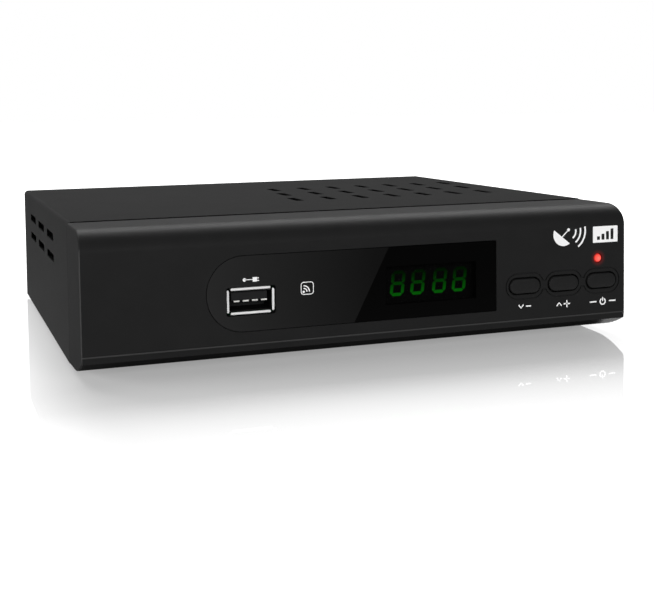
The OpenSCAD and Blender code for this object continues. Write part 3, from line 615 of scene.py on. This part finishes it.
dome_r, dome_tip = 1.5, face - 0.4
dome = [[dome_r * np.sin(a), dome_tip + dome_r * (1 - np.cos(a))]
        for a in np.linspace(0, pi / 2, 9)]
diode = surface("power_light", *together([
    turned(dome + [[dome_r, face + 3.9], [1.9, face + 3.9], [1.9, face + 4.9],
                   [0, face + 4.9]], *led)]
    + [loft([(rounded(led[0] + x, led[1], 0.5, 0.5, 0.05), y) for y in (face + 4.8, board_face)])
       for x in (-1.02, 1.02)]))
diode_look, add = material("lit_red_diode")
place = add("TexCoord", out=3)
off = add("VectorMath", "SUBTRACT", [place, (led[0] / 1000, 0, led[1] / 1000)])
off = add("VectorMath", "MULTIPLY", [off, (1.0, 0.0, 1.0)])
off = add("VectorMath", "LENGTH", [off], out=1)
ramp = span(add, off, 0.0008, 0.00145, 0.0, 1.0, "SMOOTHSTEP")
tone = blend(add, ramp, (1.0, 0.10, 0.075, 1), (0.12, 0.002, 0.001, 1))
pale = span(add, off, 0.0, 0.001, 1.0, 0.0, "SMOOTHSTEP")
tone = blend(add, pale, tone, (1.0, 0.20, 0.15, 1))
feed(diode_look, {"Emission Color": tone, "Emission Strength": 0.95,
                  "Base Color": (0.35, 0.01, 0.008, 1), "Roughness": 0.12})
fit(diode, diode_look, "power_led")


# The data port: a nickelled steel tube whose four lips flare out at the mouth, a dark
# plastic tongue and four sprung contacts under it.
def lip_strip(length, reach, gap, turn):
    """A lip like a half-round bar of radius reach/2 that runs along the mouth and shrinks in
    a quarter circle at both its ends; a flat web joins it to the tube behind."""
    r = reach / 2
    t = np.linspace(0, pi / 2, 7)
    inset = r * (1 - np.cos(t))
    u = np.concatenate([inset - length / 2, (length / 2 - inset)[::-1]])
    share = np.concatenate([np.sin(t), np.sin(t)[::-1]])[:, None] * 0.97 + 0.03
    a = np.linspace(0, 2 * pi, 20, endpoint=False)[None, :]
    off = gap + r + r * share * np.cos(a)
    deep = face + 0.3 + r + r * share * np.sin(a) * np.where(np.sin(a) > 0, 1.6, 1.0)
    u = np.broadcast_to(u[:, None], off.shape)
    flip = -1 if turn in ("down", "left") else 1
    x, z = (u, off * flip) if turn in ("up", "down") else (off * flip, u)
    return closed(np.stack([x + port[0], deep, z + port[1]], -1))


tube = band(rounded(*port, 13.1, 5.9, 0.5), rounded(*port, 12.4, 5.2, 0.3), face + 1.1, board_face)
lips = surface("port_lips", *together([
    lip_strip(11.7, 0.76, 3.02, "up"), lip_strip(11.7, 0.76, 3.02, "down"),
    lip_strip(6.4, 0.68, 6.25, "left"), lip_strip(6.4, 0.68, 6.25, "right")]), sharp=50)
shell_look = finish("port_nickel", (0.9, 0.9, 0.9), 0.35, metal=0.15, grain=0.4,
                    height=0.002, mottle=0.03)
fit(lips, shell_look, "usb_shell")
# painted shade: the nickelled tube inside the mouth is given a near-black colour for the shade
# within it
fit(surface("port_tube", *tube, sharp=50), finish("port_tube_painted_shade", (0.006, 0.006, 0.006), 0.6,
                                                specular=0.1), "usb_shell")
dress("usb_tongue", finish("tongue_plastic", (0.016, 0.016, 0.0165), 0.6, specular=0.1,
                           grain=0.15))
# a contact from its side: a tip hooked down and a flat tail
spring = np.array([[2.5, 0.0], [2.35, -0.12], [2.3, -0.3], [2.4, -0.5], [2.7, -0.58],
                   [2.85, -0.5], [2.8, -0.25], [3.2, -0.16], [8.3, -0.16], [8.3, 0.0]])
contacts = surface("port_contacts", *together(
    [loft([(spring + (face, port[1]), port[0] + x + w) for w in (-0.82, 0.82)], "x")
     for x in (-3.6, -0.95, 1.75, 4.4)]), sharp=60)
fit(contacts, finish("contact_plating", (0.88, 0.87, 0.84), 0.4, metal=0.2, mottle=0.05),
    "usb_contacts")


# The marks: plain signs on the panel and the lens, screen printed in white ink. The signal
# sign is a white plate with four black bars printed over it.
def stroke(points, width):
    """A flat line of ink: the path moved half its width to either side, along the mean of
    the directions before and after each point."""
    points = np.asarray(points, float)
    ahead = np.gradient(points, axis=0)
    ahead /= np.linalg.norm(ahead, axis=1, keepdims=True)
    aside = np.stack([-ahead[:, 1], ahead[:, 0]], -1) * width / 2
    return np.concatenate([points + aside, (points - aside)[::-1]])


def arc_of(x, z, r, start, end, n=20):
    """Points of a circle's arc between two angles in degrees."""
    t = np.radians(np.linspace(start, end, n))
    return np.stack([x + r * np.cos(t), z + r * np.sin(t)], -1)


def ink(outlines):
    """Each outline as a film of ink 0.04 mm proud of the face."""
    return together([loft([(o, face - 0.04), (o, face + 0.03)]) for o in outlines])


# the width of the lines under the buttons, and then each sign's outlines
line = 0.42
down = [stroke([[46.9, 12.6], [47.75, 11.6], [48.6, 12.6]], line),
        stroke([[49.4, 12.05], [51.2, 12.05]], line)]
up = [stroke([[60.3, 11.3], [61.15, 12.3], [62.0, 11.3]], line),
      stroke([[62.8, 11.8], [65.0, 11.8]], line), stroke([[63.9, 10.7], [63.9, 12.9]], line)]
power = [stroke(arc_of(76.9, 11.6, 0.95, 120, 420), line),
         stroke([[76.9, 11.7], [76.9, 12.95]], line),
         stroke([[72.2, 11.65], [74.6, 11.65]], line), stroke([[79.2, 11.65], [81.6, 11.65]], line)]
plug = [stroke([[-39.7, 26.0], [-37.2, 26.0]], 0.22), disc(-39.7, 26.0, 0.5, 20),
        rounded(-36.7, 26.0, 1.3, 1.3, 0.15), stroke([[-36.1, 26.35], [-35.5, 26.35]], 0.25),
        stroke([[-36.1, 25.65], [-35.5, 25.65]], 0.25)]
remote = [disc(-22.35, 21.45, 0.35, 20), stroke(arc_of(-22.35, 21.45, 1.0, 0, 90), 0.3),
          stroke(arc_of(-22.35, 21.45, 1.75, 0, 90), 0.3)]
bowl = arc_of(62.75, 33.45, 3.62, 157, 307, 24)
dish = [bowl, stroke([[62.2, 32.7], [64.3, 34.6]], 0.35), disc(64.5, 34.8, 0.5, 20)]
dish += [stroke(arc_of(64.5, 34.3, r, -55, 12), 0.55) for r in (2.6, 4.3, 6.0)]
plate = rounded(77.8, 32.8, 9.0, 5.1, 0.25)
solids = [ink(down), ink(up), ink(power), ink(plug), ink(remote), ink(dish), ink([plate]),
          band(*[rounded(-21.25, 22.45, 3.9 - 2 * g, 3.7 - 2 * g, 0.9 - g) for g in (0, 0.22)],
               face - 0.02, face + 0.03)]
marks = surface("white_marks", *together(solids), sharp=60)
fit(marks, finish("white_ink", (0.94, 0.94, 0.94), 0.55, grain=0.3, height=0.002, mottle=0.04))
bars = [rounded(75.3 + 1.65 * i, 31.1 + (1.1 + 0.75 * i) / 2, 1.05, 1.1 + 0.75 * i, 0.12)
        for i in range(4)]
bars = surface("black_marks", *together(
    [loft([(o, face - 0.045), (o, face - 0.035)]) for o in bars]), sharp=60)
fit(bars, finish("black_ink", (0.012, 0.012, 0.012), 0.55, grain=0.3, height=0.002))


# The stems and switches: a nylon plunger under each button and a small switch with a
# steel cover, soldered to the front board.
def softened(name, width, look, body="case", steps=2):
    """A CAD node's own shape with its doubles merged and its flat faces joined, and its
    edges rounded by a bevel of the given width in millimetres."""
    shape = bmesh.new()
    shape.from_mesh(node[name].data)
    bmesh.ops.remove_doubles(shape, verts=shape.verts, dist=2e-6)
    bmesh.ops.dissolve_limit(shape, angle_limit=radians(1), verts=shape.verts, edges=shape.edges)
    piece = bpy.data.objects.new(name + "_body", bpy.data.meshes.new(name + "_body"))
    shape.to_mesh(piece.data)
    shape.free()
    bpy.context.scene.collection.objects.link(piece)
    settle(piece, 40)
    bevel = piece.modifiers.new("bevel", "BEVEL")
    bevel.width, bevel.segments, bevel.limit_method = width / 1000, steps, "ANGLE"
    bevel.angle_limit = radians(40)
    even(piece)
    fit(piece, look, name, body)


nylon = finish("stem_nylon", (0.55, 0.55, 0.52), 0.45, grain=0.3)
switch_look = finish("switch_steel", (0.5, 0.5, 0.5), 0.35, metal=0.8, grain=0.15, mottle=0.06)
for word in ("channel_down", "channel_up", "power"):
    softened(word + "_stem", 0.2, nylon, body=word + "_button")
    softened(word + "_switch", 0.12, switch_look)


# The circuit boards: glass and epoxy under green lacquer. Copper tracks show through as
# paler lines, and the drilled pads are tinned.
def board(name, shift):
    """Green lacquer over square-cornered cells of a Voronoi pattern, whose walls are the
    tracks; the middles of a second pattern of round cells are the pads."""
    look, add = material(name)
    place = add("VectorMath", inputs=[add("TexCoord", out=3), shift])
    cells = add("TexVoronoi", {"feature": "F1", "distance": "CHEBYCHEV"},
                {"Vector": place, "Scale": 320.0, "Randomness": 0.85})
    nearby = add("TexVoronoi", {"feature": "F2", "distance": "CHEBYCHEV"},
                 {"Vector": place, "Scale": 320.0, "Randomness": 0.85})
    wall = add("Math", "SUBTRACT", [nearby, cells])
    track = span(add, wall, 0.09, 0.12, 1.0, 0.0)
    holes = add("TexVoronoi", {"feature": "F1"},
                {"Vector": place, "Scale": 260.0, "Randomness": 0.6})
    pad = span(add, holes, 0.13, 0.15, 1.0, 0.0)
    tone = blend(add, track, (0.006, 0.075, 0.028, 1), (0.018, 0.16, 0.06, 1))
    tone = blend(add, pad, tone, (0.6, 0.6, 0.58, 1))
    rise = add("Math", "MAXIMUM", [track, pad])
    bump = add("Bump", inputs={"Height": rise, "Strength": 0.6, "Distance": 0.00004})
    feed(look, {"Base Color": tone, "Metallic": pad, "Normal": bump, "Roughness": 0.3})
    return look


softened("main_board", 0.12, board("main_board_lacquer", (0.0, 0.0, 0.0)))
softened("front_board", 0.12, board("front_board_lacquer", (0.05, 0.02, 0.0)))


# The chips: black epoxy packages with rows of tinned legs bent down to the board, and a
# ribbed aluminium heat sink glued to the largest.
board_top = 7.6
epoxy = finish("chip_epoxy", (0.018, 0.018, 0.019), 0.55, grain=0.12, height=0.01)
for name in ("main_chip", "memory_chips", "flash_chip", "front_controller"):
    softened(name, 0.15, epoxy)


def leg(x, y, z, dx, dy):
    """A leg as a bent strip 0.3 mm wide: out from (x, y), down by 0.5 mm and out again."""
    path = np.array([[-0.2, 0.6], [0.25, 0.6], [0.45, 0.1], [0.85, 0.1], [0.85, 0.0],
                     [0.35, 0.0], [0.15, 0.48], [-0.2, 0.48]])
    sides = np.array([-0.15, 0.15])[:, None]
    run = path[None, :, 0]
    xs = x + dx * run + dy * sides
    ys = y + dy * run + dx * sides
    return closed(np.stack([xs, ys, z + np.broadcast_to(path[None, :, 1], xs.shape)], -1))


rows = [leg(-18.1 + 14 * k + i * 0.8, y, board_top, 0, d) for k in (0, 1) for i in range(11)
        for y, d in ((-24.3, -1), (-11.3, 1))]
rows += [leg(x, -14.0 + i * 1.27, board_top, d, 0) for i in range(6)
         for x, d in ((27, -1), (33, 1))]
legs = surface("chip_legs", *together(rows), sharp=50)
tin = finish("tinned_metal", (0.72, 0.72, 0.7), 0.32, metal=0.9, grain=0.2, height=0.003,
             mottle=0.08)
fit(legs, tin)
softened("heat_sink", 0.15, finish("anodised_black", (0.03, 0.03, 0.033), 0.4, metal=0.5,
                                   grain=0.1, height=0.006))


# The other parts on the main board: coils in grey ferrite cases, a canned crystal, and
# capacitors in dark sleeves that leave their sunk aluminium tops bare.
softened("power_inductors", 0.8, finish("ferrite_grey", (0.05, 0.05, 0.05), 0.6, grain=0.2,
                                        height=0.01), steps=3)
softened("crystal", 1.2, tin, steps=4)
# a can from its side: the foot, the rolled groove, the round shoulder and the sunk top
tops = [[4 - 0.5 * (1 - np.sin(a)), 18.6 - 0.5 * (1 - np.cos(a))]
        for a in np.linspace(pi / 2, 0, 5)]
path = [[0, board_top], [3.7, board_top], [4, 7.9], [4, 9.0], [3.75, 9.35], [4, 9.7], [4, 18.1]]
path += tops + [[3.1, 18.6], [3.0, 18.45], [0, 18.45]]
cans = surface("capacitor_cans", *together(
    [turned(path, x, y, axis="z") for x in (44, 54) for y in (-12.8, -2.8)]))
sleeve = finish("capacitor_sleeve", (0.015, 0.022, 0.05), 0.35, grain=0.4, height=0.003)
add = nodes_of(sleeve.node_tree)
bare = add("Math", "GREATER_THAN", [parts_of(add, add("TexCoord", out=3))[2], 0.01835])
tone = blend(add, bare, source(sleeve, "Base Color"), (0.7, 0.7, 0.71, 1))
feed(sleeve, {"Base Color": tone, "Metallic": bare})
fit(cans, sleeve, "electrolytic_capacitors")


# The link between the boards: two cream sockets and a flat white ribbon whose conductors
# show as grey lines.
cream = finish("socket_nylon", (0.62, 0.57, 0.44), 0.5, grain=0.25)
softened("front_link_socket", 0.3, cream)
softened("main_link_socket", 0.3, cream)
ribbon_look = finish("ribbon_film", (0.7, 0.7, 0.69), 0.4, grain=0.3)
add = nodes_of(ribbon_look.node_tree)
wave = add("Math", "PINGPONG", [parts_of(add, add("TexCoord", out=3))[0], 0.0005])
wire = add("Math", "GREATER_THAN", [wave, 0.00028])
tone = blend(add, wire, source(ribbon_look, "Base Color"), (0.42, 0.42, 0.43, 1))
feed(ribbon_look, {"Base Color": tone})
softened("link_ribbon", 0.08, ribbon_look)


# The tray: zinc coated steel, pressed and bent, with the spangle of hot-dip zinc. It carries
# the main board on brass stand-offs, and the tuner's can of tinplate stands on the board.
zinc = finish("zinc_coated_steel", (0.42, 0.43, 0.44), 0.38, metal=0.85, grain=0.6,
              height=0.004, mottle=0.1)
add = nodes_of(zinc.node_tree)
flakes = add("TexVoronoi", {"feature": "F1"},
             {"Vector": add("TexCoord", out=3), "Scale": 260.0, "Randomness": 1.0}, out=1)
feed(zinc, {"Roughness": span(add, add("SeparateColor", inputs=[flakes]), 0.0, 1.0, 0.28, 0.5)})
softened("base_tray", 0.12, zinc)
softened("board_standoffs", 0.2, finish("standoff_brass", (0.6, 0.42, 0.16), 0.3, metal=0.95,
                                        grain=0.2))
softened("tuner_can", 0.35, finish("can_tinplate", (0.62, 0.63, 0.64), 0.3, metal=0.9,
                                   grain=0.5, height=0.004, mottle=0.08), steps=3)


# The feet: four moulded rubber discs with a round rim and a shallow hollow underneath,
# stuck to the tray near its corners.
rim = [[6 - 0.45 * (1 - np.cos(a)), 0.45 - 0.45 * np.sin(a)] for a in np.linspace(pi / 2, 0, 6)]
path = [[0, 0.3], [4.1, 0.3], [4.4, 0.0]] + rim + [[6, 1.2], [0, 1.2]]
feet = surface("rubber_feet_discs", *together(
    [turned(path, x, y, 64, "z") for x in (-68, 68) for y in (-40.8, 56.5)]))
fit(feet, finish("foot_rubber", (0.02, 0.02, 0.02), 0.8, specular=0.3, height=0.02),
    "rubber_feet")


# The screws: pan heads with a cross recess, three blackened ones in the cover's lip and
# plain steel ones inside.
def screw(a, b, start, way, length, axis):
    """A screw along an axis about (a, b): its head's underside lies at start, its shank
    runs length against way, with a saw-tooth thread of 0.5 mm pitch."""
    dome = [[2.5 * np.sin(t), 0.7 + 0.9 * np.cos(t) ** 0.8] for t in np.linspace(0.02, pi / 2, 9)]
    teeth = np.arange(0.3, length - 1.0, 0.5)
    thread = [[r, -d] for d in teeth for r, d in ((1.45, d), (1.1, d + 0.25))]
    path = [[0, 1.6]] + dome + [[2.5, 0.0], [1.2, 0.0]] + thread + [[0.5, -length], [0, -length]]
    return turned([[r, start + way * h] for r, h in path], a, b, 32, axis)


def recess(a, b, start, way, axis):
    """The cross recess: a plus of arms 1.15 mm long that shrinks to half at its floor."""
    k, w = 1.15, 0.26
    plus = np.array([[k, -w], [k, w], [w, w], [w, k], [-w, k], [-w, w], [-k, w], [-k, -w],
                     [-w, -w], [-w, -k], [w, -k], [w, -w]])
    return loft([(plus * g + (a, b), start + way * h)
                 for g, h in ((1.15, 1.9), (1, 1.5), (0.5, 0.6))], axis)


def screws(name, places, start, way, length, axis, look, old):
    """Like screws at several places, each with a recess carved into its head."""
    piece = surface(name, *together([screw(a, b, start, way, length, axis) for a, b in places]))
    carve(piece, [together([recess(a, b, start, way, axis) for a, b in places])], 35)
    fit(piece, look, old)


steel = finish("screw_steel", (0.58, 0.58, 0.58), 0.33, metal=0.9, grain=0.2, mottle=0.08)
blackened = finish("blackened_steel", (0.05, 0.05, 0.05), 0.4, metal=0.5, grain=0.2)
screws("cover_lip_screws", [(x, 38.1) for x in (-72, 0, 72)], rear, 1, 5, "y",
       blackened, "cover_screws")
screws("main_board_screw_set", [(x, y) for x in (-71, 71) for y in (-33.8, 31.9)], board_top,
       1, 4.6, "z", steel, "main_board_screws")
screws("panel_floor_screws", [(x, -62.8) for x in (-60, 60)], 4.5, 1, 2.3, "z",
       steel, "panel_screws")
screws("front_board_screw_set", board_holes, board_face + 1.6, 1, 6.6, "y",
       steel, "front_board_screws")


# The aerial sockets: nickelled brass barrels with a fine helical thread, a hexagonal nut
# and a washer against the back wall, and a white insulator with a pin hole inside.
nickel = finish("nickelled_brass", (0.68, 0.66, 0.6), 0.25, metal=0.95, grain=0.2, mottle=0.06)
aerials, aerial_z = {"aerial_in": -62, "loop_out": -42}, 14.6
turns = np.linspace(0, 2 * pi, 48, endpoint=False)


def ring_of(rows, x, z, around):
    """A closed ring whose rows of (radius at every angle, place) follow its section round:
    the last row joins the first."""
    rad = np.stack([np.broadcast_to(r, around.shape) for r, _ in rows])
    deep = np.broadcast_to(np.array([y for _, y in rows])[:, None], rad.shape)
    points = np.stack([x + rad * np.cos(around), deep, z + rad * np.sin(around)], -1)
    return points.reshape(-1, 3), quads(len(rows), len(around), round_rows=True)


def threaded(x):
    """The barrel: radius 4.9 mm in the wall and 4.7 - 0.22 |2 frac(y / 0.79 - turn) - 1| on
    the thread, then a chamfer, a bore of 6 mm and its floor."""
    rows = [(0.02, 71.6), (4.9, 71.6), (4.9, 75.5)]
    for y in np.arange(75.52, 82.5, 0.0987):
        phase = (y / 0.79 - turns / (2 * pi)) % 1
        rows.append((4.7 - 0.22 * np.abs(2 * phase - 1), y))
    rows += [(4.35, 83.0), (3.2, 83.0), (3.0, 82.8), (3.0, 77.2), (0.02, 77.2)]
    return ring_of(rows, x, aerial_z, turns)


for name, x in aerials.items():
    barrel = surface(name + "_barrel", *threaded(x), sharp=50)
    fit(barrel, nickel, name + "_connector")


def nut(x, z, corner, low, high, bore):
    """A hexagon of the given corner radius: r = corner cos 30 / cos(a mod 60 - 30), cut by
    a cone of 30 degrees at each end."""
    around = np.linspace(0, 2 * pi, 96, endpoint=False)
    flat = corner * np.cos(pi / 6) / np.cos((around % (pi / 3)) - pi / 6)
    cone = corner * 0.88
    rows = [(bore, low), (cone * 0.97, low)]
    rows += [(np.minimum(flat, cone + 1.73 * d), low + d) for d in np.linspace(0, 0.46, 6)]
    rows += [(np.minimum(flat, cone + 1.73 * d), high - d) for d in np.linspace(0.46, 0, 6)]
    rows += [(cone * 0.97, high), (bore, high)]
    return ring_of(rows, x, z, around)


nuts = surface("aerial_hex_nuts", *together(
    [nut(x, aerial_z, 6.6, rear, rear + 2, 4.9) for x in aerials.values()]), sharp=35)
fit(nuts, nickel, "aerial_nuts")
softened("aerial_washers", 0.12, nickel)
softened("aerial_insulators", 0.15, finish("insulator_white", (0.75, 0.75, 0.72), 0.45,
                                           grain=0.3))


# The picture socket: a folded steel shell round a black tongue with gold contacts, soldered
# to the main board's rear edge.
softened("hdmi_shell", 0.12, shell_look)
gold = finish("tongue_with_contacts", (0.02, 0.02, 0.02), 0.4, grain=0.2)
add = nodes_of(gold.node_tree)
wave = add("Math", "PINGPONG", [parts_of(add, add("TexCoord", out=3))[0], 0.0005])
strip = add("Math", "GREATER_THAN", [wave, 0.00027])
tone = blend(add, strip, source(gold, "Base Color"), (0.75, 0.52, 0.16, 1))
feed(gold, {"Base Color": tone, "Metallic": strip})
softened("hdmi_tongue", 0.1, gold)


# The phono sockets: a black block with three nickelled barrels whose rims are rolled, and
# moulded inserts in yellow, white and red.
softened("phono_block", 0.3, finish("jack_plastic", (0.02, 0.02, 0.02), 0.45, grain=0.2))
phonos, phono_z = (14, 28, 42), 14.1


def rolled(x, outer, inner, low, high):
    """A ring from low to high whose outer end is rounded over its whole wall."""
    mid, half = (outer + inner) / 2, (outer - inner) / 2
    rows = [(inner, low), (outer, low)]
    rows += [(mid + half * np.cos(a), high - half + half * np.sin(a))
             for a in np.linspace(0, pi, 7)]
    return ring_of(rows, x, phono_z, turns)


def insert(x):
    """An insert: a ring with rounded edges, a shallow dish and a hole in its middle."""
    rows = [(1.7, 72.7), (3.65, 72.7), (3.65, 80.6), (3.55, 80.82), (3.3, 80.9), (2.9, 80.85),
            (2.6, 80.5), (2.1, 80.4), (1.8, 80.3), (1.7, 80.1)]
    return ring_of(rows, x, phono_z, turns)


barrels = surface("phono_barrel_set", *together(
    [rolled(x, 4.15, 3.65, 72.7, 81.5) for x in phonos]), sharp=50)
fit(barrels, nickel, "phono_barrels")
for x, name, slot, colour in zip(phonos, ("video", "audio_left", "audio_right"),
                                 ("jack_yellow", "jack_white", "jack_red"),
                                 ((0.75, 0.5, 0.02), (0.8, 0.8, 0.78), (0.55, 0.02, 0.015))):
    fit(surface(name + "_ring", *insert(x), sharp=50),
        finish(name + "_plastic", colour, 0.4, grain=0.2), name + "_insert")


# The power inlet: a black moulded block with a round bore and a plated pin in its middle,
# soldered to the main board behind its hole in the back wall.
softened("power_inlet", 0.3, finish("inlet_plastic", (0.016, 0.016, 0.016), 0.45, grain=0.2),
         steps=3)
tip = [[np.sin(a), 71.5 + np.cos(a)] for a in np.linspace(0, pi / 2, 7)]
pin = surface("power_inlet_plated_pin", *turned(tip + [[1, 63.5], [0, 63.5]], 66, 13.1, 24))
fit(pin, nickel, "power_inlet_pin")


# The infrared receiver: a block of plastic that looks black but lets the remote's light by,
# soldered to the front board behind the lens.
softened("infrared_receiver", 0.4, finish("infrared_plastic", (0.012, 0.004, 0.005), 0.15,
                                          grain=0.3, coat=0.5), steps=3)
